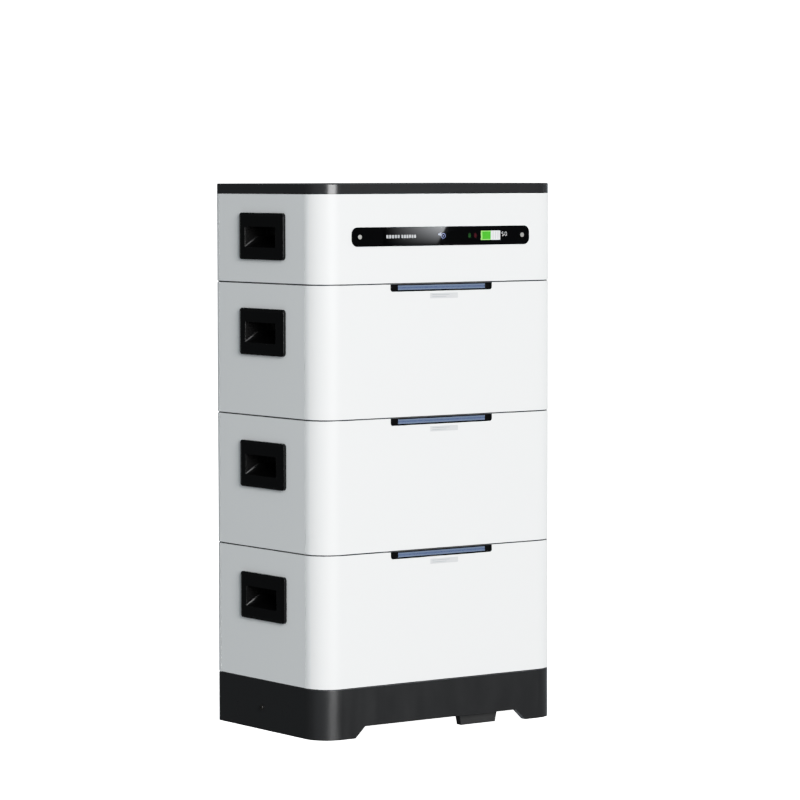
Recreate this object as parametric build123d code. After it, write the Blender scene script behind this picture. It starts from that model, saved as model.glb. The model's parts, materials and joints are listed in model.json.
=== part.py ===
from build123d import *
import os

# Overall size of the stack, in millimetres
WIDTH = 600.0
DEPTH = 385.0
BASE_HEIGHT = 100.0
BATTERY_HEIGHT = 269.0
BATTERY_COUNT = 3
CONTROL_HEIGHT = 181.0
LID_HEIGHT = 21.0
FRONT_RADIUS = 52.0
REAR_RADIUS = 22.0
SEAM = 2.8
WALL_GAP = 30.0
FRONT_PROUD = 3.4

# Sheet metal and general fits
SHEET = 2.0
BASE_SHEET = 3.0
TRAY_PLATE = 4.0
DECK_PLATE = 4.0
RIM = 2.0
RIM_HEIGHT = 24.0
FIT = 0.3
REAR_FLANGE = 24.0
REAR_SEAM = 0.6
CREASE_WIDE = 0.8
CREASE_DEEP = 0.5

# Places that everything else is worked out from
SIDE_X = WIDTH / 2
FRONT_Y = -(DEPTH + WALL_GAP - FRONT_PROUD) / 2
REAR_Y = FRONT_Y + DEPTH
MID_Y = (FRONT_Y + REAR_Y) / 2
WALL_Y = REAR_Y + WALL_GAP
INNER = SHEET + FIT
BATTERY_FLOORS = [BASE_HEIGHT + BATTERY_HEIGHT * n for n in range(BATTERY_COUNT)]
CONTROL_Z = BASE_HEIGHT + BATTERY_HEIGHT * BATTERY_COUNT
LID_Z = CONTROL_Z + CONTROL_HEIGHT

# Plinth: trapezoid cut-out at front and rear, with a folded return lip
GAP_HEIGHT = 22.7
GAP_FLOOR_HALF = 214.8
GAP_TOP_HALF = 191.0
LIP = 2.5
LIP_DEPTH = 14.0
BEAM_Y = FRONT_Y + 210.0
BEAM_LOW = 28.0
BEAM_HIGH = 63.0
BEAM_HALF = 20.0
BEAM_WALL = 3.0
FOOT_X = 104.5
FOOT_FLOOR_HALF = 43.5
FOOT_TOP_HALF = 49.5
FOOT_SETBACK = 16.0
FOOT_DEPTH = 15.0
BASE_SCREW_Z = 45.5

# Side handles: framed finger pocket with a scooped floor
HANDLE_Y = FRONT_Y + 198.7
HANDLE_WIDTH = 160.0
HANDLE_TALL = 94.5
HANDLE_PROUD = 8.0
HANDLE_EDGE = 5.5
HANDLE_BEVEL = 7.0
HANDLE_RADIUS = 8.0
HANDLE_ABOVE_FLOOR = 172.0
CONTROL_HANDLE_ABOVE_FLOOR = 96.0
POCKET_WIDTH = 110.6
POCKET_TALL = 42.0
POCKET_DROP = 1.75
POCKET_DEPTH = 42.0
POCKET_WALL = 3.0
LIP_THICK = 14.0
HOOK_TOP = 30.0
HOOK_HALF = 50.0
BUCKET_HALF = 60.0
BUCKET_LOW = -28.0
BUCKET_HIGH = 33.5

# Light bar at the top of each battery's front
BAR_LENGTH = 254.0
BAR_TALL = 14.2
BAR_DEPTH = 18.0
BAR_PROUD = 0.8
BAR_RADIUS = 5.0
LENS_LENGTH = 219.0
LENS_TALL = 9.2
LENS_TOP = 2.0
LENS_DEPTH = 4.0
LENS_SINK = 0.5
LENS_GROOVE = 3.0
LED_COUNT = 16
LED_SIZE = 3.0
LED_TALL = 1.2
LED_BOARD_SETBACK = 8.0
BOARD = 1.6

# Cells: prismatic, two rows of eight standing on the tray
CELL_X = 36.7
CELL_Y = 130.3
CELL_Z = 197.0
CELL_COLUMNS = 8
CELL_ROWS = 2
CELL_PITCH_X = 38.2
CELL_PITCH_Y = 133.0
CELL_RADIUS = 2.5
TERMINAL_RADIUS = 8.0
TERMINAL_TALL = 3.5
TERMINAL_OFFSET = 44.0
BUSBAR_THICK = 2.0
BUSBAR_WIDTH = 20.0
END_PLATE = 3.0
END_PLATE_TALL = 130.0
TAB_REACH = 52.0

# Battery management board under the deck; chips are x, y, width, depth, height
BMS_LONG = 220.0
BMS_WIDE = 140.0
BMS_DROP = 24.0
BMS_INSET = 8.0
STANDOFF_RADIUS = 4.0
BMS_CHIPS = [(-60.0, 20.0, 40.0, 24.0, 8.0), (10.0, -30.0, 18.0, 18.0, 2.5), (60.0, 25.0, 50.0, 14.0, 12.0)]

# Locating cones and the blind-mating stack connector
CONE_RADIUS = 10.0
CONE_TIP_RADIUS = 5.0
CONE_BASE = 6.0
CONE_TALL = 26.0
CONE_CLEAR = 0.8
CONE_X = 235.0
CONE_Y = 130.0
SOCKET_X = -205.0
SOCKET_LONG = 84.0
SOCKET_WIDE = 36.0
SOCKET_DEEP = 30.0
TONGUE_LONG = 66.0
TONGUE_WIDE = 18.0
TONGUE_DEEP = 16.0
TONGUE_CLEAR = 0.6

# Display bar on the control module
DISPLAY_LENGTH = 445.0
DISPLAY_TALL = 38.5
DISPLAY_RADIUS = 13.5
DISPLAY_Z = CONTROL_Z + 96.0
DISPLAY_PROUD = 2.0
DISPLAY_BACK = 4.0
DISPLAY_LAP = 3.0
DISPLAY_SCREW_X = 203.5
DISPLAY_SCREW_HEAD = 4.6
DISPLAY_SCREW_TALL = FRONT_PROUD - DISPLAY_PROUD
DISPLAY_BOARD_LONG = 384.0
DISPLAY_BOARD_TALL = 26.0
DISPLAY_LIGHTS = [(-1.0, 9.0), (69.0, 5.0), (84.0, 5.0), (123.5, 50.0), (159.0, 16.0)]
DISPLAY_CHIPS = [(-120.0, 22.0), (20.0, 30.0), (150.0, 14.0)]

# Main board in the control module; parts are x, y, width, depth, height, the heat sink last
POWER_LONG = 300.0
POWER_WIDE = 220.0
POWER_RISE = 8.0
POWER_FORWARD = 22.0
POWER_PARTS = [
    (-100.0, -60.0, 52.0, 60.0, 58.0),
    (-100.0, 20.0, 52.0, 60.0, 58.0),
    (-30.0, 60.0, 70.0, 22.0, 26.0),
    (100.0, -40.0, 80.0, 110.0, 6.0),
]
CAPACITOR_COUNT = 3
CAPACITOR_X = -45.0
CAPACITOR_Y = -60.0
CAPACITOR_PITCH = 30.0
CAPACITOR_RADIUS = 12.0
CAPACITOR_TALL = 34.0
FIN_COUNT = 9
FIN_X = 64.0
FIN_PITCH = 9.0
FIN_THICK = 2.0
FIN_TALL = 30.0

# Controls on the right-hand side of the control module
BREAKER_Y = FRONT_Y + 325.0
BREAKER_Z = DISPLAY_Z
WINDOW_WIDE = 44.0
WINDOW_TALL = 84.0
BEZEL_WIDE = 60.0
BEZEL_TALL = 96.0
BEZEL_THICK = 1.5
HOUSING_DEPTH = 62.0
RECESS_WIDE = 36.0
RECESS_TALL = 60.0
RECESS_DEPTH = 9.0
SLOT_TALL = 44.0
SLOT_DEPTH = 24.0
PIVOT_DEPTH = -13.0
LEVER_WIDE = 12.0
LEVER_THICK = 5.0
LEVER_ROUND = 1.2
LEVER_REACH = 15.5
LEVER_LEAN = 38.0
HUB_RADIUS = 7.0
TRUNNION_RADIUS = 1.5
TRUNNION_LENGTH = 3.0
PIVOT_CLEAR = 0.05
HINGE_RADIUS = 2.6
HINGE_PIN_RADIUS = 1.0
HINGE_RISE = 4.4
HINGE_OFFSET = 25.0
POST_NEAR = 20.0
POST_FAR = 28.0
FLAP_WALL = 1.6
FLAP_LIFT = 1.9
FLAP_HIGH = 8.0
FLAP_START = -28.0
FLAP_END = 21.0
FLAP_TALL = 92.0
BUTTON_Y = FRONT_Y + 85.0
BUTTON_RADIUS = 9.5
BUTTON_PROUD = 3.5
BUTTON_TRAVEL = 2.0
BUTTON_FLANGE = 2.5
BUTTON_STEM = 9.0

# Rear connection niche and wall brackets
NICHE_X = 90.0
NICHE_Z = CONTROL_Z + 74.0
NICHE_WIDE = 250.0
NICHE_TALL = 76.0
NICHE_DEEP = 32.0
NICHE_WALL = 2.5
NICHE_FLANGE = 7.0
DC_RADIUS = 10.0
DC_BORE = 4.5
DC_LENGTH = 18.0
DC_PLACES = (NICHE_X - 98.0, NICHE_X - 56.0)
JACK = 17.0
JACK_LENGTH = 16.0
JACK_HOLE_WIDE = 12.0
JACK_HOLE_TALL = 9.0
JACK_HOLE_DEEP = 13.0
JACK_PLACES = (NICHE_X - 8.0, NICHE_X + 20.0, NICHE_X + 48.0)
STUD_X = NICHE_X + 95.0
STUD_BOSS = 5.0
STUD_RADIUS = 3.0
STUD_LENGTH = 16.0
BRACKET_X = 180.0
BRACKET_WIDE = 56.0
BRACKET_THICK = 3.0
BRACKET_FOLD_Z = LID_Z - 31.0
BRACKET_TAB = 30.0
BRACKET_RISE = 40.0
BRACKET_BEND = 4.0
SLOT_Z = BRACKET_FOLD_Z + 24.0
SLOT_RADIUS = 4.5
SLOT_LENGTH = 22.0

# Lid
LID_WALL = 3.0
LID_ROUND = 2.5
LID_LIP = 8.0
LID_CLEAR = 0.6

# Screws
SCREW_RADIUS = 2.45
SCREW_HOLE = 2.55
SCREW_HEAD = 4.75
SCREW_HEAD_TALL = 2.8
SCREW_LENGTH = 12.0
BIG_SCREW_RADIUS = 2.95
BIG_SCREW_HOLE = 3.05
BIG_SCREW_HEAD = 5.5
DRIVE_RADIUS = 2.0
DRIVE_DEPTH = 1.6
HEAD_ROUND = 0.4
REAR_SCREW_X = 255.0

# Stiffening grooves in the rear panels, and small edge breaks
GROOVE_LENGTH = 430.0
GROOVE_TALL = 16.0
GROOVE_DEPTH = 1.6
GROOVES = 3
CHAMFER = 2.0
OVERCUT = 1.0

# Sections of the handle's scoop from the mouth inwards: depth, rise of the floor,
# pull-in of each side, radius of the lower corners
SCOOP = [
    (HANDLE_PROUD, 0.0, 0.0, 2.0),
    (-4.0, 3.5, 2.3, 9.0),
    (-18.0, 10.0, 5.0, 14.0),
    (-POCKET_DEPTH, 25.0, 9.5, 13.0),
]


def outline(inset):
    """Module footprint, pulled in by inset: large front corners, small rear ones."""
    face = Rectangle(WIDTH - 2 * inset, DEPTH - 2 * inset)
    front = face.vertices().group_by(Axis.Y)[0]
    face = fillet(front, FRONT_RADIUS - inset)
    rear = face.vertices().group_by(Axis.Y)[-1]
    face = fillet(rear, max(REAR_RADIUS - inset, RIM))
    return Pos(0, MID_Y) * face


def slab(face, low, high):
    """Face raised from the height low to the height high."""
    return Pos(0, 0, low) * extrude(face, high - low)


def block(x_span, y_span, z_span):
    """Box between the given pairs of low and high values."""
    size = [high - low for low, high in (x_span, y_span, z_span)]
    middle = [(high + low) / 2 for low, high in (x_span, y_span, z_span)]
    return Pos(*middle) * Box(*size)


def span(middle, width):
    """Low and high ends of a width about a middle."""
    return middle - width / 2, middle + width / 2


def rod(start, direction, radius, length):
    """Cylinder that starts at a point and runs along a direction."""
    return Plane(start, z_dir=direction) * extrude(Circle(radius), length)


def screw(start, outward, radius, head_radius, length, head_tall=SCREW_HEAD_TALL):
    """Button-head screw; start is under the head, outward points out of the head."""
    inward = [-value for value in outward]
    head = rod(start, outward, head_radius, head_tall)
    rim_edge = head.edges().filter_by(GeomType.CIRCLE).sort_by(Axis(start, outward))[-1]
    head = fillet(rim_edge, head_tall * HEAD_ROUND)
    rise = head_tall - DRIVE_DEPTH
    seat = [place + value * rise for place, value in zip(start, outward)]
    drive = Plane(seat, z_dir=outward) * extrude(RegularPolygon(DRIVE_RADIUS, 6), DRIVE_DEPTH)
    return head - drive + rod(start, inward, radius, length)


def save(node, solids):
    """Write one node's separate solids to its STEP file."""
    pieces = [solid for piece in solids for solid in piece.solids()]
    export_step(Compound(children=pieces), f"parts/{node}.step")


def behind(y, low, high):
    """Everything in a height band that lies behind the plane y."""
    return block((-WIDTH, WIDTH), (y, y + DEPTH), (low, high))


def locating_cone(x, y, z):
    """Locating cone that stands on a deck at (x, y, z)."""
    base = rod((x, y, z), (0, 0, 1), CONE_RADIUS, CONE_BASE)
    tall = CONE_TALL - CONE_BASE
    tip = Pos(x, y, z + CONE_BASE + tall / 2) * Cone(CONE_RADIUS, CONE_TIP_RADIUS, tall)
    return base + tip


def cone_places():
    """The two cones stand on one diagonal, so a module can't be stacked turned round."""
    return [(CONE_X, MID_Y - CONE_Y), (-CONE_X, MID_Y + CONE_Y)]


def trapezoid(floor_half, top_half, height, y, depth, x=0.0):
    """Prism along +Y with a trapezoid face that stands on the floor."""
    corners = [(-floor_half, 0), (floor_half, 0), (top_half, height), (-top_half, height)]
    return extrude(front_plane(x, y + depth, 0) * make_face(Polyline(*corners, close=True)), depth)


# ---------------------------------------------------------------- base

def plinth():
    """Skirt and deck welded into one, with a lipped cut-out at front and rear."""
    deck_low = BASE_HEIGHT - BASE_SHEET
    body = slab(outline(0) - outline(BASE_SHEET), 0, deck_low) + slab(outline(0), deck_low, BASE_HEIGHT)
    for edge_y, lip_y in ((FRONT_Y, FRONT_Y), (REAR_Y - BASE_SHEET, REAR_Y - LIP_DEPTH)):
        body += trapezoid(GAP_FLOOR_HALF + LIP, GAP_TOP_HALF + LIP, GAP_HEIGHT + LIP, lip_y, LIP_DEPTH)
    body -= trapezoid(GAP_FLOOR_HALF, GAP_TOP_HALF, GAP_HEIGHT, FRONT_Y - OVERCUT, DEPTH + 2 * OVERCUT)
    for x, y in cone_places():
        body += locating_cone(x, y, BASE_HEIGHT)
    body -= socket_room(BASE_HEIGHT)
    for side in (-1, 1):
        body -= rod((side * SIDE_X, BEAM_Y, BASE_SCREW_Z), (-side, 0, 0), BIG_SCREW_HOLE, BASE_SHEET)
    return body


def support_frame():
    """Welded cross of two box tubes with a foot under each end of the long one."""
    beam_half = SIDE_X - BASE_SHEET
    high = (BEAM_LOW, BEAM_HIGH)
    hollow = (BEAM_LOW + BEAM_WALL, BEAM_HIGH - BEAM_WALL)
    rail = (FRONT_Y + FOOT_SETBACK, REAR_Y - FOOT_SETBACK)
    inner = BEAM_HALF - BEAM_WALL
    frame = block((-beam_half, beam_half), span(BEAM_Y, 2 * BEAM_HALF), high)
    frame += block(span(FOOT_X, 2 * BEAM_HALF), rail, high)
    plate = 2 * BEAM_WALL
    frame -= block((plate - beam_half, beam_half - plate), span(BEAM_Y, 2 * inner), hollow)
    frame -= block(span(FOOT_X, 2 * inner), (rail[0] + BEAM_WALL, rail[1] - BEAM_WALL), hollow)
    for y in (rail[0], rail[1] - FOOT_DEPTH):
        frame += trapezoid(FOOT_FLOOR_HALF, FOOT_TOP_HALF, BEAM_LOW, y, FOOT_DEPTH, FOOT_X)
    for side in (-1, 1):
        frame -= rod((side * beam_half, BEAM_Y, BASE_SCREW_Z), (-side, 0, 0), BIG_SCREW_HOLE, plate)
    return frame


def base_screws():
    """One screw through each side of the skirt into the support frame."""
    length = SCREW_LENGTH - BASE_SHEET
    return [screw((side * SIDE_X, BEAM_Y, BASE_SCREW_Z), (side, 0, 0), BIG_SCREW_RADIUS, BIG_SCREW_HEAD, length)
            for side in (-1, 1)]


# ---------------------------------------------------------------- stack connector

def socket_room(deck_z):
    """Opening in a deck that the socket sits in."""
    return block(span(SOCKET_X, SOCKET_LONG), span(MID_Y, SOCKET_WIDE), (deck_z - SOCKET_DEEP, deck_z))


def stack_socket(deck_z):
    """Female half of the blind-mating connector, flush with the deck."""
    clear = 2 * TONGUE_CLEAR
    body = socket_room(deck_z)
    cavity = (deck_z - TONGUE_DEEP - clear, deck_z)
    body -= block(span(SOCKET_X, TONGUE_LONG + clear), span(MID_Y, TONGUE_WIDE + clear), cavity)
    return body


def stack_plug(floor_z):
    """Male half: a flange on the tray's floor and a tongue that hangs below it."""
    top = floor_z + TRAY_PLATE
    body = block(span(SOCKET_X, SOCKET_LONG), span(MID_Y, SOCKET_WIDE), (top, top + SOCKET_DEEP))
    tongue = block(span(SOCKET_X, TONGUE_LONG), span(MID_Y, TONGUE_WIDE), (floor_z - TONGUE_DEEP, top))
    lower = tongue.edges().group_by(Axis.Z)[0]
    return body + chamfer(lower, CHAMFER)


# ---------------------------------------------------------------- module carcass

def front_plane(x, y, z):
    """Plane parallel to the front face, centred at (x, y, z), with its normal pointing forward."""
    return Plane((x, y, z), x_dir=(1, 0, 0), z_dir=(0, -1, 0))


def side_plane(side, y, z):
    """Plane on one side face, centred at (y, z), with its normal pointing out."""
    return Plane((side * SIDE_X, y, z), x_dir=(0, side, 0), z_dir=(side, 0, 0))


def shell(low, high, handle_z):
    """Painted sheet round the front and both sides, open at the rear, creased where each side meets its corner."""
    body = slab(outline(0) - outline(SHEET), low + SEAM, high)
    body -= behind(REAR_Y - REAR_FLANGE - REAR_SEAM, low, high)
    hole = block((-WIDTH, WIDTH), span(HANDLE_Y, 2 * BUCKET_HALF + 2 * FIT),
                 (handle_z + BUCKET_LOW - FIT, handle_z + BUCKET_HIGH + FIT))
    for side in (-1, 1):
        crease = span(FRONT_Y + FRONT_RADIUS, CREASE_WIDE)
        body -= block(span(side * SIDE_X, 2 * CREASE_DEEP), crease, (low, high))
    return body - hole


def rear_panel(low, high, grooves):
    """Shallow tray of sheet that closes the rear, with stiffening grooves."""
    outer = slab(outline(0), low + SEAM, high) & behind(REAR_Y - REAR_FLANGE, low, high)
    inner = slab(outline(SHEET), low, high) - behind(REAR_Y - SHEET, low, high)
    body = outer - inner
    for step in range(grooves):
        face = front_plane(0, REAR_Y, low + (high - low) * (step + 1) / (grooves + 1))
        body += extrude(face * SlotOverall(GROOVE_LENGTH, GROOVE_TALL), -SHEET - GROOVE_DEPTH)
        pressed = SlotOverall(GROOVE_LENGTH - 2 * SHEET, GROOVE_TALL - 2 * SHEET)
        body -= extrude(face * pressed, -GROOVE_DEPTH)
    return body


def screw_places(low, high):
    """Rear screws: a row into the tray's rim and a row into the deck's rim."""
    rows = (low + TRAY_PLATE + RIM_HEIGHT / 2, high - DECK_PLATE - RIM_HEIGHT / 2)
    near = REAR_SCREW_X / 3
    return [(x, z) for z in rows for x in (-REAR_SCREW_X, -near, near, REAR_SCREW_X)]


def rear_holes(places, radius):
    """Holes along Y at the rear for a list of screws."""
    return [rod((x, REAR_Y, z), (0, -1, 0), radius, SCREW_LENGTH) for x, z in places]


def rear_screws(places):
    """Screws whose heads sit on the rear face."""
    length = SCREW_LENGTH - SHEET
    return [screw((x, REAR_Y, z), (0, 1, 0), SCREW_RADIUS, SCREW_HEAD, length) for x, z in places]


def tray(low):
    """Floor pan with an upturned rim, cone holes and the plug's opening."""
    top = low + TRAY_PLATE
    body = slab(outline(INNER), low, top)
    body += slab(outline(INNER) - outline(INNER + RIM), top, top + RIM_HEIGHT)
    for x, y in cone_places():
        body -= rod((x, y, low), (0, 0, 1), CONE_RADIUS + CONE_CLEAR, TRAY_PLATE)
    body -= block(span(SOCKET_X, TONGUE_LONG), span(MID_Y, TONGUE_WIDE), (low, top))
    return body


def deck(high):
    """Lid plate of a battery with a downturned rim, two cones and the socket's opening."""
    low = high - DECK_PLATE
    body = slab(outline(INNER), low, high)
    body += slab(outline(INNER) - outline(INNER + RIM), low - RIM_HEIGHT, low)
    body -= bar_room(high, low - RIM_HEIGHT)
    for x, y in cone_places():
        body += locating_cone(x, y, high)
    return body - socket_room(high)


def handle(side, z):
    """Framed finger pocket: bevelled frame, scooped floor and a hooked lip above."""
    foot = RectangleRounded(HANDLE_WIDTH, HANDLE_TALL, HANDLE_RADIUS)
    frame = extrude(foot, HANDLE_EDGE)
    top = RectangleRounded(HANDLE_WIDTH - 2 * HANDLE_BEVEL, HANDLE_TALL - 2 * HANDLE_BEVEL, RIM)
    frame += Pos(0, 0, HANDLE_EDGE) * loft([foot, Pos(0, 0, HANDLE_PROUD - HANDLE_EDGE) * top])
    bucket = block((-BUCKET_HALF, BUCKET_HALF), (BUCKET_LOW, BUCKET_HIGH), (-POCKET_DEPTH - POCKET_WALL, 0))
    bucket = fillet(bucket.edges().group_by(Axis.Z)[0], POCKET_WALL)
    return side_plane(side, HANDLE_Y, z) * (frame + bucket - pocket())


def scoop_section(depth, rise, narrow, radius):
    """Cross-section of the scoop: square at the top, rounded lower corners."""
    half = POCKET_WIDTH / 2 - narrow
    top = POCKET_TALL / 2 - POCKET_DROP
    bottom = -POCKET_TALL / 2 - POCKET_DROP + rise
    face = make_face(Polyline((-half, bottom), (half, bottom), (half, top), (-half, top), close=True))
    face = fillet(face.vertices().group_by(Axis.Y)[0], radius)
    return Pos(0, 0, depth) * face


def pocket():
    """Hollow of the finger pocket, in the handle's own frame."""
    sections = [scoop_section(depth, rise, narrow, radius) for depth, rise, narrow, radius in SCOOP]
    hollow = loft(sections)
    hook = block((-HOOK_HALF, HOOK_HALF), (0, HOOK_TOP), (-POCKET_DEPTH, -LIP_THICK + HANDLE_PROUD))
    hook = fillet(hook.edges().filter_by(Axis.X).group_by(Axis.Y)[-1], POCKET_WALL)
    return hollow + hook


def handles(z):
    """The two handles of one module."""
    return [handle(side, z) for side in (-1, 1)]


# ---------------------------------------------------------------- battery internals and light bar

def bar_block(high, grow):
    """Outer form of the light bar's bezel, with rounded lower corners."""
    heights = (high - BAR_TALL - grow, high)
    body = block(span(0, BAR_LENGTH + 2 * grow), (FRONT_Y - BAR_PROUD, FRONT_Y + BAR_DEPTH), heights)
    return fillet(body.edges().filter_by(Axis.Y).group_by(Axis.Z)[0], BAR_RADIUS + grow)


def bar_room(high, low):
    """Notch in the deck's front edge behind the light bar."""
    return block(span(0, BAR_LENGTH + 2 * FIT), (FRONT_Y, FRONT_Y + BAR_DEPTH + FIT), (low, high))


def light_bezel(high):
    """Black surround of the light bar."""
    window = block(span(0, LENS_LENGTH), (FRONT_Y - BAR_DEPTH, FRONT_Y + BAR_DEPTH), lens_heights(high))
    return bar_block(high, 0) - window


def lens_heights(high):
    """Lower and upper edge of the light bar's lens."""
    return high - LENS_TOP - LENS_TALL, high - LENS_TOP


def light_lens(high):
    """Diffusing lens with a shallow channel along its middle."""
    face_y = FRONT_Y - BAR_PROUD + LENS_SINK
    body = block(span(0, LENS_LENGTH), (face_y, face_y + LENS_DEPTH), lens_heights(high))
    middle = sum(lens_heights(high)) / 2
    return body - block(span(0, LENS_LENGTH), (face_y, face_y + LENS_SINK), span(middle, LENS_GROOVE))


def led_board(high):
    """Strip board behind the lens with a row of light-emitting diodes."""
    face_y = FRONT_Y + LED_BOARD_SETBACK
    middle = sum(lens_heights(high)) / 2
    board_long = LENS_LENGTH - 2 * CHAMFER
    body = block(span(0, board_long), (face_y, face_y + BOARD), span(middle, LENS_TALL - 2 * FIT))
    for step in range(LED_COUNT):
        x = ((step + 0.5) / LED_COUNT - 0.5) * board_long
        body += block(span(x, LED_SIZE), (face_y - LED_TALL, face_y), span(middle, LED_SIZE))
    return body


def cell_place(column, row):
    """Centre of one cell's footprint."""
    x = (column - (CELL_COLUMNS - 1) / 2) * CELL_PITCH_X
    y = MID_Y + (row - (CELL_ROWS - 1) / 2) * CELL_PITCH_Y
    return x, y


def cells(low):
    """Prismatic cells, each with its two terminals."""
    bottom = low + TRAY_PLATE
    top = bottom + CELL_Z
    pack = []
    for row in range(CELL_ROWS):
        for column in range(CELL_COLUMNS):
            x, y = cell_place(column, row)
            body = block(span(x, CELL_X), span(y, CELL_Y), (bottom, top))
            body = fillet(body.edges().filter_by(Axis.Z), CELL_RADIUS)
            for offset in (-TERMINAL_OFFSET, TERMINAL_OFFSET):
                body += rod((x, y + offset, top), (0, 0, 1), TERMINAL_RADIUS, TERMINAL_TALL)
            pack.append(body)
    return pack


def busbars(low):
    """Bars that put the cells in series, with an output tab at each end of the chain."""
    bottom = low + TRAY_PLATE + CELL_Z + TERMINAL_TALL
    thick = (bottom, bottom + BUSBAR_THICK)
    half = BUSBAR_WIDTH / 2
    bars = []
    for row, first in ((0, -TERMINAL_OFFSET), (1, TERMINAL_OFFSET)):
        for column in range(CELL_COLUMNS - 1):
            x, y = cell_place(column, row)
            offset = first if column % 2 == 0 else -first
            bars.append(block((x - half, x + CELL_PITCH_X + half), span(y + offset, BUSBAR_WIDTH), thick))
        x, y = cell_place(0, row)
        bars.append(block((x - TAB_REACH, x + half), span(y - first, BUSBAR_WIDTH), thick))
    x, y = cell_place(CELL_COLUMNS - 1, 0)
    jumper = (y + TERMINAL_OFFSET - half, y + CELL_PITCH_Y - TERMINAL_OFFSET + half)
    bars.append(block(span(x, BUSBAR_WIDTH), jumper, thick))
    return bars


def bms_board(high):
    """Battery management board that hangs from the deck on four standoffs."""
    top = high - DECK_PLATE
    board_z = top - BMS_DROP
    body = block(span(0, BMS_LONG), span(MID_Y, BMS_WIDE), (board_z - BOARD, board_z))
    for x in (-BMS_LONG / 2 + BMS_INSET, BMS_LONG / 2 - BMS_INSET):
        for y in (MID_Y - BMS_WIDE / 2 + BMS_INSET, MID_Y + BMS_WIDE / 2 - BMS_INSET):
            body += rod((x, y, board_z), (0, 0, 1), STANDOFF_RADIUS, BMS_DROP)
    for x, y, wide, deep, tall in BMS_CHIPS:
        body += block(span(x, wide), span(MID_Y + y, deep), (board_z, board_z + tall))
    return body


def battery_tray(low):
    """Battery tray: the floor pan with an end plate against each end of the cells."""
    body = tray(low)
    pack_half = CELL_PITCH_X * CELL_COLUMNS / 2
    deep = CELL_PITCH_Y * CELL_ROWS
    top = low + TRAY_PLATE
    for side in (-1, 1):
        middle = side * (pack_half + END_PLATE / 2)
        body += block(span(middle, END_PLATE), span(MID_Y, deep), (top, top + END_PLATE_TALL))
    return body


# ---------------------------------------------------------------- control module

def display_face(grow, radius):
    """Outline of the display bar on the front face, grown or shrunk all round."""
    return RectangleRounded(DISPLAY_LENGTH + 2 * grow, DISPLAY_TALL + 2 * grow, radius)


def display_window():
    """Dark glossy bar that laps over the front sheet and plugs its cut-out."""
    face = front_plane(0, FRONT_Y, DISPLAY_Z)
    body = face * extrude(display_face(0, DISPLAY_RADIUS), DISPLAY_PROUD)
    body = chamfer(body.faces().sort_by(Axis.Y)[0].edges(), FIT)
    body += face * extrude(display_face(-DISPLAY_LAP, DISPLAY_RADIUS - DISPLAY_LAP), -DISPLAY_BACK)
    thick = DISPLAY_PROUD + DISPLAY_BACK
    for x in (-DISPLAY_SCREW_X, DISPLAY_SCREW_X):
        body -= rod((x, FRONT_Y - DISPLAY_PROUD, DISPLAY_Z), (0, 1, 0), SCREW_HOLE, thick)
    return body


def display_screws():
    """The two bright screws at the ends of the display bar."""
    return [screw((x, FRONT_Y - DISPLAY_PROUD, DISPLAY_Z), (0, -1, 0), SCREW_RADIUS, DISPLAY_SCREW_HEAD,
                  SCREW_LENGTH, DISPLAY_SCREW_TALL) for x in (-DISPLAY_SCREW_X, DISPLAY_SCREW_X)]


def display_board():
    """Board behind the display bar with its indicator lights and drivers."""
    face_y = FRONT_Y + DISPLAY_BACK + LED_BOARD_SETBACK
    body = block(span(0, DISPLAY_BOARD_LONG), (face_y, face_y + BOARD), span(DISPLAY_Z, DISPLAY_BOARD_TALL))
    heights = span(DISPLAY_Z, DISPLAY_BOARD_TALL / 2)
    for x, wide in DISPLAY_LIGHTS:
        body += block(span(x, wide), (face_y - LED_TALL, face_y), heights)
    for x, wide in DISPLAY_CHIPS:
        body += block(span(x, wide), (face_y + BOARD, face_y + BOARD + LED_SIZE), heights)
    return body


def power_board():
    """Main board on standoffs: two contactors, a fuse, capacitors and a finned heat sink."""
    top = CONTROL_Z + TRAY_PLATE
    board_z = top + POWER_RISE
    y_middle = MID_Y - POWER_FORWARD
    body = block(span(0, POWER_LONG), span(y_middle, POWER_WIDE), (board_z, board_z + BOARD))
    for x in (-POWER_LONG / 2 + BMS_INSET, POWER_LONG / 2 - BMS_INSET):
        for y in (y_middle - POWER_WIDE / 2 + BMS_INSET, y_middle + POWER_WIDE / 2 - BMS_INSET):
            body += rod((x, y, top), (0, 0, 1), STANDOFF_RADIUS, POWER_RISE)
    board_top = board_z + BOARD
    for x, y, wide, deep, tall in POWER_PARTS:
        body += block(span(x, wide), span(y_middle + y, deep), (board_top, board_top + tall))
    for step in range(CAPACITOR_COUNT):
        x = CAPACITOR_X + step * CAPACITOR_PITCH
        body += rod((x, y_middle + CAPACITOR_Y, board_top), (0, 0, 1), CAPACITOR_RADIUS, CAPACITOR_TALL)
    for step in range(FIN_COUNT):
        x = FIN_X + step * FIN_PITCH
        fin_base = board_top + POWER_PARTS[-1][-1]
        body += block(span(x, FIN_THICK), span(y_middle + POWER_PARTS[-1][1], POWER_PARTS[-1][3]),
                      (fin_base, fin_base + FIN_TALL))
    return body


def on_right(piece, y=BREAKER_Y):
    """Put a piece modelled in the right side's own frame in its place."""
    return side_plane(1, y, BREAKER_Z) * piece


def across(radius, low, high, depth, x_low=0.0):
    """Cylinder along the local y of a side plane, at a depth and an offset, from low to high."""
    return rod((x_low, low, depth), (0, 1, 0), radius, high - low)


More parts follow.
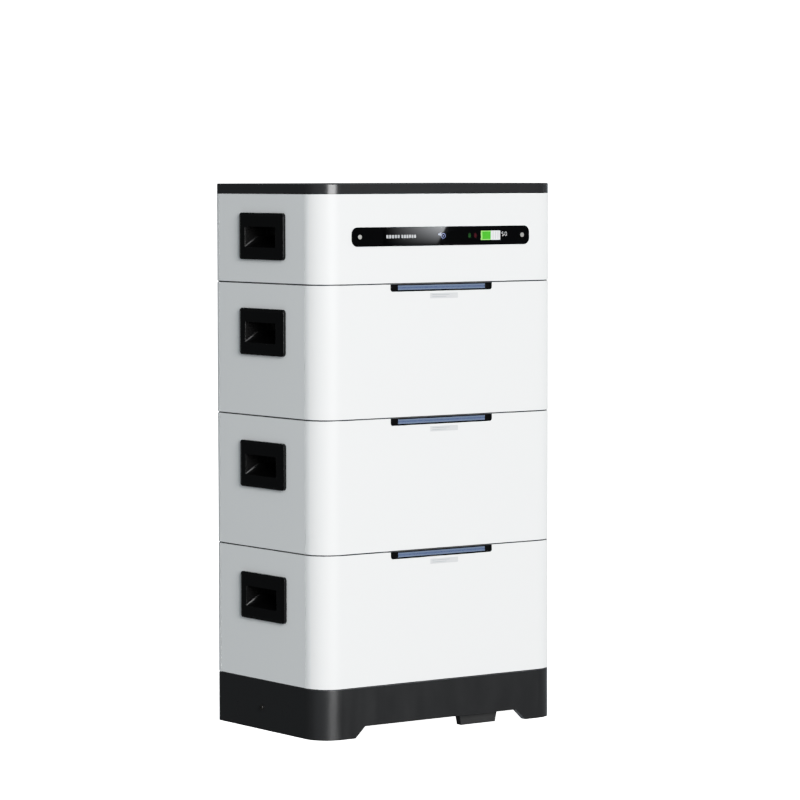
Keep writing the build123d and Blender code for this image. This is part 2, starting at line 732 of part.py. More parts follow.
def breaker_housing():
    """Breaker moulding: outer bezel, recess for the lever, lever slot and hinge posts with their pin."""
    body = extrude(RectangleRounded(BEZEL_WIDE, BEZEL_TALL, BAR_RADIUS), BEZEL_THICK)
    body += block(span(0, WINDOW_WIDE), span(0, WINDOW_TALL), (-HOUSING_DEPTH, 0))
    body -= block(span(0, RECESS_WIDE), span(0, RECESS_TALL), (-RECESS_DEPTH, BEZEL_THICK))
    slot_half = LEVER_WIDE / 2 + FIT
    body -= block((-slot_half, slot_half), span(0, SLOT_TALL), (-SLOT_DEPTH, 0))
    pin_reach = LEVER_WIDE / 2 + TRUNNION_LENGTH + FIT
    body -= rod((-pin_reach, 0, PIVOT_DEPTH), (1, 0, 0), TRUNNION_RADIUS + PIVOT_CLEAR, 2 * pin_reach)
    for low, high in ((-POST_FAR, -POST_NEAR), (POST_NEAR, POST_FAR)):
        body += across(HINGE_RADIUS, low, high, HINGE_RISE, HINGE_OFFSET)
        body += block(span(HINGE_OFFSET, 2 * HINGE_RADIUS), (low, high), (0, HINGE_RISE))
    body += across(HINGE_PIN_RADIUS, -POST_FAR, POST_FAR, HINGE_RISE, HINGE_OFFSET)
    return on_right(body)


def breaker_lever():
    """Toggle that leans up when on, with a trunnion on each side of its hub."""
    half = LEVER_WIDE / 2
    hub = rod((-half, 0, 0), (1, 0, 0), HUB_RADIUS, LEVER_WIDE)
    paddle = block((-half, half), span(0, LEVER_THICK), (0, LEVER_REACH))
    paddle = fillet(paddle.edges().group_by(Axis.Z)[-1], LEVER_ROUND)
    pins = rod((-half - TRUNNION_LENGTH, 0, 0), (1, 0, 0), TRUNNION_RADIUS, LEVER_WIDE + 2 * TRUNNION_LENGTH)
    body = hub + Rot(-LEVER_LEAN, 0, 0) * paddle + pins
    return on_right(Pos(0, 0, PIVOT_DEPTH) * body)


def service_flap():
    """Clear domed cover over the breaker, with a knuckle that turns on the housing's pin."""
    middle = (FLAP_START + FLAP_END) / 2
    wide = FLAP_END - FLAP_START
    outer_face = RectangleRounded(wide, FLAP_TALL, BAR_RADIUS)
    outer = extrude(Pos(middle, 0, FLAP_LIFT) * outer_face, FLAP_HIGH - FLAP_LIFT)
    outer = fillet(outer.faces().sort_by(Axis.Z)[-1].edges(), FLAP_WALL)
    inner_face = RectangleRounded(wide - 2 * FLAP_WALL, FLAP_TALL - 2 * FLAP_WALL, BAR_RADIUS - FLAP_WALL)
    body = outer - extrude(Pos(middle, 0, FLAP_LIFT) * inner_face, FLAP_HIGH - FLAP_WALL - FLAP_LIFT)
    knuckle_half = POST_NEAR - FIT
    web = span(HINGE_RISE, FLAP_WALL)
    body += block((FLAP_END - FLAP_WALL, HINGE_OFFSET), (-knuckle_half, knuckle_half), web)
    body += across(HINGE_RADIUS, -knuckle_half, knuckle_half, HINGE_RISE, HINGE_OFFSET)
    body -= across(HINGE_PIN_RADIUS + PIVOT_CLEAR, -knuckle_half, knuckle_half, HINGE_RISE, HINGE_OFFSET)
    return on_right(body)


def power_button():
    """Round push button: domed cap, retaining flange behind the sheet and a stem."""
    cap = rod((0, 0, -SHEET - BUTTON_TRAVEL), (0, 0, 1), BUTTON_RADIUS, SHEET + BUTTON_TRAVEL + BUTTON_PROUD)
    cap = fillet(cap.edges().filter_by(GeomType.CIRCLE).sort_by(Axis.Z)[-1], LEVER_ROUND)
    flange_top = -SHEET - FIT
    flange = rod((0, 0, flange_top - RIM), (0, 0, 1), BUTTON_RADIUS + BUTTON_FLANGE, RIM)
    stem = rod((0, 0, flange_top - BUTTON_STEM), (0, 0, 1), STANDOFF_RADIUS, BUTTON_STEM)
    return on_right(cap + flange + stem, BUTTON_Y)


def control_shell():
    """Control module's wrap with cut-outs for the display, the breaker and the button."""
    body = shell(CONTROL_Z, LID_Z, CONTROL_Z + CONTROL_HANDLE_ABOVE_FLOOR)
    hole = display_face(FIT - DISPLAY_LAP, DISPLAY_RADIUS - DISPLAY_LAP + FIT)
    body -= front_plane(0, FRONT_Y, DISPLAY_Z) * extrude(hole, -SHEET)
    body -= on_right(block(span(0, WINDOW_WIDE + 2 * FIT), span(0, WINDOW_TALL + 2 * FIT), (-SHEET, 0)))
    body -= on_right(rod((0, 0, -SHEET), (0, 0, 1), BUTTON_RADIUS + FIT, SHEET), BUTTON_Y)
    return body


def control_screw_places():
    """Lower rear screws of the control module."""
    return screw_places(CONTROL_Z, LID_Z)[:4]


def bracket_screw_places():
    """Two screws in each wall bracket's lower leg."""
    z = BRACKET_FOLD_Z - BRACKET_TAB / 2
    offset = BRACKET_WIDE / 4
    return [(side * BRACKET_X + step * offset, z) for side in (-1, 1) for step in (-1, 1)]


def control_rear_panel():
    """Rear panel with the niche's opening and the bracket screw holes."""
    body = rear_panel(CONTROL_Z, LID_Z, 0)
    body -= block(span(NICHE_X, NICHE_WIDE), (REAR_Y - SHEET, REAR_Y), span(NICHE_Z, NICHE_TALL))
    for hole in rear_holes(control_screw_places() + bracket_screw_places(), SCREW_HOLE):
        body -= hole
    return body


def port_block():
    """Recessed connection panel: two power sockets, three data jacks and an earth stud."""
    wide = NICHE_WIDE - 2 * NICHE_WALL
    tall = NICHE_TALL - 2 * NICHE_WALL
    flange = RectangleRounded(NICHE_WIDE + 2 * NICHE_FLANGE, NICHE_TALL + 2 * NICHE_FLANGE, BAR_RADIUS)
    body = extrude(front_plane(NICHE_X, REAR_Y, NICHE_Z) * flange, -SHEET)
    body += block(span(NICHE_X, NICHE_WIDE), (REAR_Y - NICHE_DEEP, REAR_Y), span(NICHE_Z, NICHE_TALL))
    floor_y = REAR_Y - NICHE_DEEP + NICHE_WALL
    body -= block(span(NICHE_X, wide), (floor_y, REAR_Y + SHEET), span(NICHE_Z, tall))
    for x in DC_PLACES:
        body += rod((x, floor_y, NICHE_Z), (0, 1, 0), DC_RADIUS, DC_LENGTH)
        body -= rod((x, floor_y + CHAMFER, NICHE_Z), (0, 1, 0), DC_BORE, DC_LENGTH - CHAMFER)
    for x in JACK_PLACES:
        body += block(span(x, JACK), (floor_y, floor_y + JACK_LENGTH), span(NICHE_Z, JACK))
        hole = (floor_y + JACK_LENGTH - JACK_HOLE_DEEP, floor_y + JACK_LENGTH)
        body -= block(span(x, JACK_HOLE_WIDE), hole, span(NICHE_Z, JACK_HOLE_TALL))
    body += rod((STUD_X, floor_y, NICHE_Z), (0, 1, 0), 2 * STUD_RADIUS, STUD_BOSS)
    body += rod((STUD_X, floor_y + STUD_BOSS, NICHE_Z), (0, 1, 0), STUD_RADIUS, STUD_LENGTH)
    return body


def wall_bracket(side):
    """Z-shaped strap from the rear panel to the wall, with a slot for the wall fixing."""
    half = BRACKET_THICK / 2
    tab_y = REAR_Y + half
    leg_y = WALL_Y - half
    fold = [(tab_y, BRACKET_FOLD_Z - BRACKET_TAB), (tab_y, BRACKET_FOLD_Z - half),
            (leg_y, BRACKET_FOLD_Z - half), (leg_y, BRACKET_FOLD_Z + BRACKET_RISE)]
    profile = Plane.YZ * trace(FilletPolyline(*fold, radius=BRACKET_BEND), BRACKET_THICK)
    body = Pos(side * BRACKET_X - BRACKET_WIDE / 2, 0, 0) * extrude(profile, BRACKET_WIDE)
    slot = front_plane(side * BRACKET_X, WALL_Y, SLOT_Z) * SlotOverall(SLOT_LENGTH, 2 * SLOT_RADIUS)
    body -= extrude(slot, BRACKET_THICK)
    for x, z in bracket_screw_places():
        body -= rod((x, REAR_Y, z), (0, 1, 0), SCREW_HOLE, BRACKET_THICK)
    return body


def bracket_screws():
    """Screws that hold the wall brackets to the rear panel."""
    return [screw((x, REAR_Y + BRACKET_THICK, z), (0, 1, 0), SCREW_RADIUS, SCREW_HEAD, SCREW_LENGTH)
            for x, z in bracket_screw_places()]


# ---------------------------------------------------------------- lid

def lid_cap():
    """Moulded cap with a rounded top edge and a locating lip inside the shell below."""
    body = slab(outline(0), LID_Z, LID_Z + LID_HEIGHT)
    body = fillet(body.faces().sort_by(Axis.Z)[-1].edges(), LID_ROUND)
    body -= slab(outline(LID_WALL), LID_Z, LID_Z + LID_HEIGHT - LID_WALL)
    lip_inset = SHEET + LID_CLEAR
    lip = outline(lip_inset) - outline(lip_inset + RIM)
    return body + slab(lip, LID_Z - LID_LIP, LID_Z + LID_WALL)


# ---------------------------------------------------------------- the stack

def write_base():
    """Every node of the base."""
    save("base_plinth", [plinth()])
    save("base_support_frame", [support_frame()])
    save("base_socket", [stack_socket(BASE_HEIGHT)])
    save("base_screws", base_screws())


def write_battery(name, low):
    """Every node of one battery module that stands at the height low."""
    high = low + BATTERY_HEIGHT
    handle_z = low + HANDLE_ABOVE_FLOOR
    places = screw_places(low, high)
    panel = rear_panel(low, high, GROOVES)
    pan = battery_tray(low)
    cover = deck(high)
    for hole in rear_holes(places, SCREW_HOLE):
        panel -= hole
        pan -= hole
        cover -= hole
    save(f"{name}_shell", [shell(low, high, handle_z) - bar_block(high, FIT)])
    save(f"{name}_rear_panel", [panel])
    save(f"{name}_bottom_tray", [pan])
    save(f"{name}_top_deck", [cover])
    save(f"{name}_handles", handles(handle_z))
    save(f"{name}_light_bezel", [light_bezel(high)])
    save(f"{name}_light_lens", [light_lens(high)])
    save(f"{name}_led_board", [led_board(high)])
    save(f"{name}_cells", cells(low))
    save(f"{name}_busbars", busbars(low))
    save(f"{name}_bms_board", [bms_board(high)])
    save(f"{name}_stack_connectors", [stack_socket(high), stack_plug(low)])
    save(f"{name}_screws", rear_screws(places))


def write_control():
    """Every node of the control module."""
    pan = tray(CONTROL_Z)
    for hole in rear_holes(control_screw_places(), SCREW_HOLE):
        pan -= hole
    save("control_shell", [control_shell()])
    save("control_rear_panel", [control_rear_panel()])
    save("control_bottom_tray", [pan])
    save("control_handles", handles(CONTROL_Z + CONTROL_HANDLE_ABOVE_FLOOR))
    save("display_window", [display_window()])
    save("display_screws", display_screws())
    save("display_board", [display_board()])
    save("power_board", [power_board()])
    save("breaker_housing", [breaker_housing()])
    save("breaker_lever", [breaker_lever()])
    save("service_flap", [service_flap()])
    save("power_button", [power_button()])
    save("control_stack_plug", [stack_plug(CONTROL_Z)])
    save("port_block", [port_block()])
    save("control_screws", rear_screws(control_screw_places()) + bracket_screws())
    save("wall_brackets", [wall_bracket(side) for side in (-1, 1)])


os.makedirs("parts", exist_ok=True)
write_base()
for number, battery_floor in enumerate(BATTERY_FLOORS, start=1):
    write_battery(f"battery_{number}", battery_floor)
write_control()
save("lid_cap", [lid_cap()])
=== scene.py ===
import json
import math

import bmesh
import bpy
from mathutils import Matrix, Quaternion, Vector


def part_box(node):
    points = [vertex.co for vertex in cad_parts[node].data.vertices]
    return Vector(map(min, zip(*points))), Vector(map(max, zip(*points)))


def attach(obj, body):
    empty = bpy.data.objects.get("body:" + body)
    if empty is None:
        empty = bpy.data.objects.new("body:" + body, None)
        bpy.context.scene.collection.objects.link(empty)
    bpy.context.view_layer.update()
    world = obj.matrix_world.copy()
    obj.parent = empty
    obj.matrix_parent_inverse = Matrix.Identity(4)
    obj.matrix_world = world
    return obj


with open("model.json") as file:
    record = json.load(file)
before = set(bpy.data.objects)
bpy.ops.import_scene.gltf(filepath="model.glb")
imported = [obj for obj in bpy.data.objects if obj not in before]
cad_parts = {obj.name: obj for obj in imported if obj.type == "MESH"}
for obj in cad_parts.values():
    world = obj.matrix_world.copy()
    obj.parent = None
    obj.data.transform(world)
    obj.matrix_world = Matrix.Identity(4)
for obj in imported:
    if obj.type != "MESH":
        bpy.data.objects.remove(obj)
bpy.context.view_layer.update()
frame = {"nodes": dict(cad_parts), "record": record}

MM = 0.001
BATTERIES = ("battery_1", "battery_2", "battery_3")


# ---------------------------------------------------------------- node materials

class Surface:
    """A Principled material and the few node helpers that every finish here uses."""

    def __init__(self, name, **constants):
        self.material = bpy.data.materials.new(name)
        self.material.use_nodes = True
        self.tree = self.material.node_tree
        self.shader = self.tree.nodes["Principled BSDF"]
        self.place = self.tree.nodes.new("ShaderNodeTexCoord").outputs["Object"]
        for key, value in constants.items():
            self.shader.inputs[key.replace("_", " ")].default_value = value

    def put(self, socket, value):
        """Link a socket, or set a plain value."""
        if isinstance(value, bpy.types.NodeSocket):
            self.tree.links.new(value, socket)
        else:
            socket.default_value = value

    def node(self, kind, inputs=None, **settings):
        made = self.tree.nodes.new(kind)
        for key, value in settings.items():
            setattr(made, key, value)
        for key, value in (inputs or {}).items():
            self.put(made.inputs[key], value)
        return made

    def stretched(self, x, y, z):
        """Object position, stretched along the axes."""
        return self.node("ShaderNodeMapping", {"Vector": self.place, "Scale": (x, y, z)}).outputs["Vector"]

    def noise(self, scale, detail=3.0, roughness=0.5, vector=None):
        inputs = {"Vector": vector or self.place, "Scale": scale, "Detail": detail, "Roughness": roughness}
        return self.node("ShaderNodeTexNoise", inputs).outputs["Fac"]

    def cells(self, scale):
        inputs = {"Vector": self.place, "Scale": scale}
        return self.node("ShaderNodeTexVoronoi", inputs).outputs["Distance"]

    def spread(self, value, low, high, source=(0.0, 1.0)):
        """Map a value from the source range to low..high."""
        start, end = source
        inputs = {"Value": value, "From Min": start, "From Max": end, "To Min": low, "To Max": high}
        return self.node("ShaderNodeMapRange", inputs).outputs["Result"]

    def math(self, operation, first, second=0.0):
        return self.node("ShaderNodeMath", {0: first, 1: second}, operation=operation).outputs["Value"]

    def blend(self, factor, first, second):
        """Colour between two colours or sockets."""
        made = self.node("ShaderNodeMix", {0: factor, 6: first, 7: second}, data_type="RGBA")
        return made.outputs[2]

    def edges(self, radius):
        """1 along convex and concave edges, 0 on open faces."""
        rounded = self.node("ShaderNodeBevel", {"Radius": radius}, samples=4).outputs["Normal"]
        flat = self.node("ShaderNodeNewGeometry").outputs["Normal"]
        facing = self.node("ShaderNodeVectorMath", {0: rounded, 1: flat}, operation="DOT_PRODUCT")
        return self.spread(facing.outputs["Value"], 1.0, 0.0, (0.80, 0.995))

    def facing_up(self):
        """1 on upward faces, 0 on upright ones."""
        normal = self.node("ShaderNodeNewGeometry").outputs["Normal"]
        rise = self.node("ShaderNodeSeparateXYZ", {"Vector": normal}).outputs["Z"]
        return self.spread(rise, 0.0, 1.0, (0.4, 0.9))

    def colour(self, source):
        self.put(self.shader.inputs["Base Color"], source)

    def roughness(self, source):
        self.put(self.shader.inputs["Roughness"], source)

    def bump(self, *layers, round_off=0.0):
        """Stack height layers given as (socket, strength, distance in metres), over softened edges."""
        normal = None
        if round_off:
            normal = self.node("ShaderNodeBevel", {"Radius": round_off}, samples=6).outputs["Normal"]
        for height, strength, distance in layers:
            inputs = {"Height": height, "Strength": strength, "Distance": distance}
            if normal is not None:
                inputs["Normal"] = normal
            normal = self.node("ShaderNodeBump", inputs).outputs["Normal"]
        self.put(self.shader.inputs["Normal"], normal)


def scaled(colour, factor):
    """An RGBA colour from three values, lighter or darker."""
    return tuple(min(1.0, value * factor) for value in colour) + (1.0,)


def powder_coat(name, colour, peel, speckle, gloss, edge_highlight_and_wear=0.0, shine=0.5):
    """Powder-coated steel: orange peel, a cloudy shade, rub marks in the gloss, and edges painted lighter as
    a painted highlight, partly rub wear.
    """
    surface = Surface(name, IOR=1.5, Specular_IOR_Level=shine)
    cloud = surface.noise(3.0, 2.0)
    grain = surface.noise(2600.0, 2.0)
    sharp_grain = surface.spread(grain, 0.0, 1.0, (0.35, 0.7))
    shade = surface.math("MULTIPLY", sharp_grain, surface.spread(cloud, 0.75, 1.0))
    coat = surface.blend(shade, scaled(colour, 1.0 - speckle), scaled(colour, 1.0))
    rub = surface.noise(40.0, 4.0, 0.6, surface.stretched(1.0, 1.0, 0.25))
    if edge_highlight_and_wear:
        # Edges blended lighter: a painted highlight along the edges, partly rub wear where the rub noise is
        # high.
        edge_highlight_and_wear_mask = surface.math("MULTIPLY", surface.edges(0.0012), surface.spread(rub, 0.2, 1.0, (0.35, 0.65)))
        coat = surface.blend(surface.math("MULTIPLY", edge_highlight_and_wear_mask, edge_highlight_and_wear), coat, scaled(colour, 2.6))
    surface.colour(coat)
    surface.roughness(surface.spread(rub, gloss - 0.04, gloss + 0.05, (0.3, 0.7)))
    surface.bump((surface.noise(420.0, 1.0), peel, 0.0002), (grain, peel * 0.5, 0.00005), round_off=0.0008)
    return surface.material


def moulded(name, colour, gloss, texture, edge_highlight_and_wear=0.3, round_off=0.0006, matt_top=0.0, shine=0.5):
    """Moulded plastic: spark-eroded grain, flow clouds, handling marks, and edges painted a shade lighter as
    a painted highlight, partly handling wear.
    """
    surface = Surface(name, IOR=1.49, Specular_IOR_Level=shine)
    cloud = surface.noise(11.0, 3.0)
    marks = surface.noise(190.0, 4.0, 0.6, surface.stretched(1.0, 0.35, 0.8))
    body = surface.blend(cloud, scaled(colour, 1.0), scaled(colour, 1.3))
    # Edges blended a shade lighter: a painted highlight along the edges, partly handling wear.
    edge_highlight_and_wear_mask = surface.math("MULTIPLY", surface.edges(0.0008), surface.spread(marks, 0.0, edge_highlight_and_wear, (0.3, 0.7)))
    surface.colour(surface.blend(edge_highlight_and_wear_mask, body, scaled(colour, 4.0)))
    rough = surface.spread(marks, gloss - 0.015, gloss + 0.025, (0.35, 0.75))
    if matt_top:
        rough = surface.math("ADD", rough, surface.math("MULTIPLY", surface.facing_up(), matt_top))
    surface.roughness(rough)
    surface.bump((surface.cells(1400.0), texture, 0.00006), round_off=round_off)
    return surface.material


def brushed(name, colour, gloss, along):
    """Brushed metal: fine lines along one axis and slow patches of shade."""
    surface = Surface(name, Metallic=1.0)
    lines = surface.noise(900.0, 3.0, 0.6, surface.stretched(*along))
    patch = surface.noise(14.0, 3.0)
    shade = surface.math("MULTIPLY", lines, patch)
    surface.colour(surface.blend(shade, scaled(colour, 0.78), scaled(colour, 1.0)))
    surface.roughness(surface.spread(lines, gloss - 0.08, gloss + 0.12))
    surface.bump((lines, 0.2, 0.00004))
    return surface.material


def circuit(name):
    """Solder-masked board: tracks, tinned pads and a darker laminate."""
    surface = Surface(name, IOR=1.52)
    tracks = surface.node("ShaderNodeTexBrick", {
        "Vector": surface.place, "Scale": 90.0, "Mortar Size": 0.012, "Color1": (0.010, 0.085, 0.038, 1.0),
        "Color2": (0.014, 0.110, 0.050, 1.0), "Mortar": (0.030, 0.210, 0.085, 1.0)}).outputs["Color"]
    pad_map = surface.cells(230.0)
    pads = surface.spread(pad_map, 1.0, 0.0, (0.10, 0.14))
    surface.colour(surface.blend(pads, tracks, (0.55, 0.50, 0.36, 1.0)))
    surface.roughness(surface.spread(surface.noise(60.0), 0.28, 0.45))
    surface.bump((pad_map, 0.2, 0.0001))
    return surface.material


def cell_film(name):
    """Blue film shrunk round the cells, with soft wrinkles."""
    surface = Surface(name, IOR=1.5)
    wrinkle = surface.noise(45.0, 4.0, 0.55, surface.stretched(1.0, 1.0, 0.3))
    surface.colour(surface.blend(wrinkle, (0.015, 0.06, 0.20, 1.0), (0.03, 0.12, 0.34, 1.0)))
    surface.roughness(surface.spread(wrinkle, 0.22, 0.38))
    surface.bump((wrinkle, 0.25, 0.0006))
    return surface.material


def lacquer(name):
    """Black lacquered bar: almost flat, with a faint swirl in the polish."""
    surface = Surface(name, IOR=1.52)
    swirl = surface.noise(30.0, 6.0, 0.7)
    surface.colour(surface.blend(swirl, (0.0006, 0.0006, 0.0008, 1.0), (0.0012, 0.0012, 0.0014, 1.0)))
    surface.roughness(surface.spread(swirl, 0.03, 0.045))
    surface.bump((surface.noise(6.0, 1.0), 0.002, 0.0004))
    return surface.material


# Light bar: half height of the deeper channel where it ends and where the rail is full, in metres, and the
# turn of the diode pattern for each metre
CHANNEL_EDGE = (0.0014, 0.0019)
DIODE_TURN = 230.0


def lens_blue(name, middle):
    """Unlit light bar: milky blue rails over and under a deeper channel with a faint row of diodes."""
    surface = Surface(name, IOR=1.49)
    parts = surface.node("ShaderNodeSeparateXYZ", {"Vector": surface.place})
    rise = surface.math("ABSOLUTE", surface.math("SUBTRACT", parts.outputs["Z"], middle))
    band = surface.spread(rise, 0.0, 1.0, CHANNEL_EDGE)
    turn = surface.math("MULTIPLY", parts.outputs["X"], DIODE_TURN)
    diode = surface.math("MULTIPLY", surface.math("ABSOLUTE", surface.math("SINE", turn)), 0.3)
    haze = surface.noise(500.0, 2.0)
    channel = surface.blend(diode, (0.084, 0.128, 0.240, 1.0), (0.12, 0.17, 0.29, 1.0))
    rail = surface.blend(haze, (0.140, 0.188, 0.278, 1.0), (0.172, 0.222, 0.318, 1.0))
    surface.colour(surface.blend(band, channel, rail))
    surface.roughness(surface.spread(haze, 0.22, 0.34))
    surface.bump((haze, 0.05, 0.0001))
    return surface.material


def clear_plastic(name):
    """Clear polycarbonate with a smoky tint, fine scuffs and moulding haze."""
    surface = Surface(name, IOR=1.58, Transmission_Weight=0.92)
    scuff = surface.noise(300.0, 5.0, 0.7, surface.stretched(1.0, 0.15, 1.0))
    surface.colour(surface.blend(scuff, (0.72, 0.78, 0.80, 1.0), (0.86, 0.90, 0.91, 1.0)))
    surface.roughness(surface.spread(scuff, 0.03, 0.14, (0.4, 0.8)))
    surface.bump((scuff, 0.05, 0.00005))
    return surface.material


def printed(name, colour, glow=0.0):
    """Mark printed or lit under the bar's lacquer, with a fine dot screen."""
    surface = Surface(name, IOR=1.52, Coat_Weight=1.0, Coat_Roughness=0.06, Emission_Strength=glow)
    dots = surface.cells(1500.0)
    screen = surface.spread(dots, 0.0, 1.0, (0.1, 0.6))
    tone = surface.blend(screen, scaled(colour, 1.0), scaled(colour, 0.88))
    surface.colour(tone)
    surface.put(surface.shader.inputs["Emission Color"], tone)
    surface.roughness(surface.spread(surface.noise(90.0), 0.08, 0.18))
    surface.bump((dots, 0.03, 0.00003))
    return surface.material


def label_film(name, colour):
    """Thin satin label with a faint fibre."""
    surface = Surface(name, IOR=1.46)
    fibre = surface.noise(700.0, 3.0, 0.5, surface.stretched(0.2, 1.0, 1.0))
    surface.colour(surface.blend(fibre, scaled(colour, 0.94), scaled(colour, 1.03)))
    surface.roughness(surface.spread(fibre, 0.38, 0.5))
    surface.bump((fibre, 0.08, 0.00004))
    return surface.material


FINISHES = {
    "white_paint": powder_coat("white_powder_coat", (0.86, 0.868, 0.862), 0.05, 0.02, 0.48, shine=0.25),
    "black_paint": powder_coat("black_powder_coat", (0.0190, 0.0194, 0.0204), 0.10, 0.25, 0.31, edge_highlight_and_wear=0.25),
    "tray_metal": powder_coat("tray_coat", (0.050, 0.051, 0.053), 0.2, 0.2, 0.5, edge_highlight_and_wear=0.4),
    "deck_metal": powder_coat("deck_coat", (0.075, 0.076, 0.078), 0.3, 0.2, 0.55, edge_highlight_and_wear=0.4),
    "handle_plastic": moulded("handle_black", (0.0019, 0.0019, 0.0020), 0.22, 0.006, edge_highlight_and_wear=0.1,
                               round_off=0.0012, shine=0.3),
    "bezel_plastic": moulded("bezel_black", (0.0022, 0.0022, 0.0024), 0.14, 0.01),
    "circuit_board": circuit("circuit_board"),
    "cell_case": cell_film("cell_film"),
    "busbar_metal": brushed("busbar_copper", (0.86, 0.47, 0.30), 0.32, (0.05, 1.0, 1.0)),
    "connector_plastic": moulded("connector_black", (0.018, 0.018, 0.020), 0.48, 0.15),
    "screw_steel": brushed("screw_steel", (0.62, 0.62, 0.61), 0.36, (1.0, 0.1, 0.2)),
    "display_glass": lacquer("display_lacquer"),
    "display_screw_steel": brushed("display_screw_steel", (0.48, 0.48, 0.46), 0.50, (0.3, 1.0, 1.0)),
    "breaker_plastic": moulded("breaker_grey", (0.040, 0.041, 0.043), 0.42, 0.12),
    "bracket_steel": brushed("bracket_steel", (0.66, 0.67, 0.68), 0.38, (0.06, 1.0, 1.0)),
    "lid_plastic": moulded("lid_black", (0.0170, 0.0173, 0.0180), 0.25, 0.005, edge_highlight_and_wear=0.04,
                            round_off=0.0015, matt_top=0.45),
    "lever_plastic": moulded("lever_black", (0.010, 0.010, 0.011), 0.3, 0.05),
    "flap_plastic": clear_plastic("flap_clear"),
    "button_plastic": moulded("button_pale", (0.60, 0.61, 0.61), 0.32, 0.05, edge_highlight_and_wear=0.0),
}


def dress(node, material):
    """Give a CAD node its finish."""
    mesh = frame["nodes"][node].data
    mesh.materials.clear()
    mesh.materials.append(material)


for entry in frame["record"]["subparts"]:
    if entry["material_slot"] in FINISHES:
        dress(entry["node"], FINISHES[entry["material_slot"]])
for unit in BATTERIES:
    lens_low, lens_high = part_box(unit + "_light_lens")
    dress(unit + "_light_lens", lens_blue(unit + "_lens_blue", (lens_low.z + lens_high.z) / 2))
dress("base_support_frame", powder_coat("frame_dip_coat", (0.006, 0.006, 0.0065), 0.15, 0.2, 0.6, edge_highlight_and_wear=0.3))
dress("port_block", moulded("port_grey", (0.045, 0.046, 0.050), 0.42, 0.12))
dress("base_screws", moulded("blackened_screw", (0.012, 0.011, 0.010), 0.35, 0.05))


# ---------------------------------------------------------------- marks and labels as thin plates

def rounded_outline(wide, tall, radius, steps=6):
    """Points of a rounded rectangle about the origin, counter-clockwise."""
    points = []
    for quarter, (sx, sz) in enumerate(((1, 1), (-1, 1), (-1, -1), (1, -1))):
        centre = (sx * (wide / 2 - radius), sz * (tall / 2 - radius))
        for step in range(steps + 1):
            angle = math.radians(90 * quarter + 90 * step / steps)
            points.append((centre[0] + radius * math.cos(angle), centre[1] + radius * math.sin(angle)))
    return points


def bridge(build, loops, closed=False):
    """Quads between consecutive loops of vertices."""
    following = loops[1:] + loops[:1] if closed else loops[1:]
    for near, far in zip(loops, following):
        for step in range(len(near)):
            after = (step + 1) % len(near)
            build.faces.new((near[step], near[after], far[after], far[step]))


def add_plate(build, outline, x, z, back_y, thickness):
    """Plate that faces -Y, with a small bevel round its front."""
    bevel = thickness * 0.4
    front_y = back_y - thickness
    loops = []
    for y, shrink in ((back_y, 0.0), (front_y + bevel, 0.0), (front_y, bevel)):
        loop = []
        for px, pz in outline:
            length = math.hypot(px, pz)
            loop.append(build.verts.new((x + px * (1 - shrink / length), y, z + pz * (1 - shrink / length))))
        loops.append(loop)
    bridge(build, loops)
    build.faces.new(list(reversed(loops[0])))
    build.faces.new(loops[-1])


def add_ring(build, radius, width, x, z, back_y, thickness, steps=40):
    """Flat ring that faces -Y."""
    loops = []
    for size, y in ((radius, back_y), (radius, back_y - thickness), (radius - width, back_y - thickness),
                    (radius - width, back_y)):
        turns = [2 * math.pi * step / steps for step in range(steps)]
        loops.append([build.verts.new((x + size * math.cos(t), y, z + size * math.sin(t))) for t in turns])
    bridge(build, loops, closed=True)


def piece(name, build, material, body):
    """Turn a bmesh into a piece that rides on a body."""
    bmesh.ops.recalc_face_normals(build, faces=build.faces)
    mesh = bpy.data.meshes.new(name)
    build.to_mesh(mesh)
    build.free()
    mesh.materials.append(material)
    made = bpy.data.objects.new(name, mesh)
    bpy.context.scene.collection.objects.link(made)
    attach(made, body)


bar_low, bar_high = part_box("display_window")
BAR_MIDDLE_X = (bar_low.x + bar_high.x) / 2
BAR_MIDDLE_Z = (bar_low.z + bar_high.z) / 2
MARK = 0.12 * MM

# Places along the display bar, in millimetres from its middle
DASH_GROUPS = ((-138.5, 5, 5.0, 1.9), (-101.5, 6, 4.5, 1.8))
DASH_TALL = 6.6
ICON_X = 3.0
ICON_RADIUS = 5.4
SIGNAL_BARS = ((-9.0, 3.2), (-6.2, 5.0), (-3.4, 6.8))
SIGNAL_RISE = 3.4
GREEN_LIGHT_X = 69.0
RED_LIGHT_X = 84.0
LIGHT_WIDE = 6.6
LIGHT_TALL = 9.4
GAUGE_LEFT = 98.0
GAUGE_SPLIT = 123.0
GAUGE_RIGHT = 147.5
GAUGE_TALL = 18.8
GAUGE_RIM = 1.7
GAUGE_BARS = 4
FIGURES = (("5", 153.8), ("0", 161.6))
FIGURE_RISE = 2.4
FIGURE_TALL = 7.4
FIGURE_WIDE = 4.4
STROKE = 1.3
SEGMENTS = {"0": "abcdef", "5": "acdfg"}


def bar_marks(name, shapes, material, layer=0):
    """Thin plates on the display bar; each shape is (outline, x, z) in millimetres from the bar's middle."""
    build = bmesh.new()
    for outline, x, z in shapes:
        points = [(px * MM, pz * MM) for px, pz in outline]
        back_y = bar_low.y - layer * MARK
        add_plate(build, points, BAR_MIDDLE_X + x * MM, BAR_MIDDLE_Z + z * MM, back_y, MARK)
    piece(name, build, material, "control")


def between(left, right, tall, radius):
    """Rounded plate between two places along the bar."""
    return rounded_outline(right - left, tall, radius), (left + right) / 2, 0.0


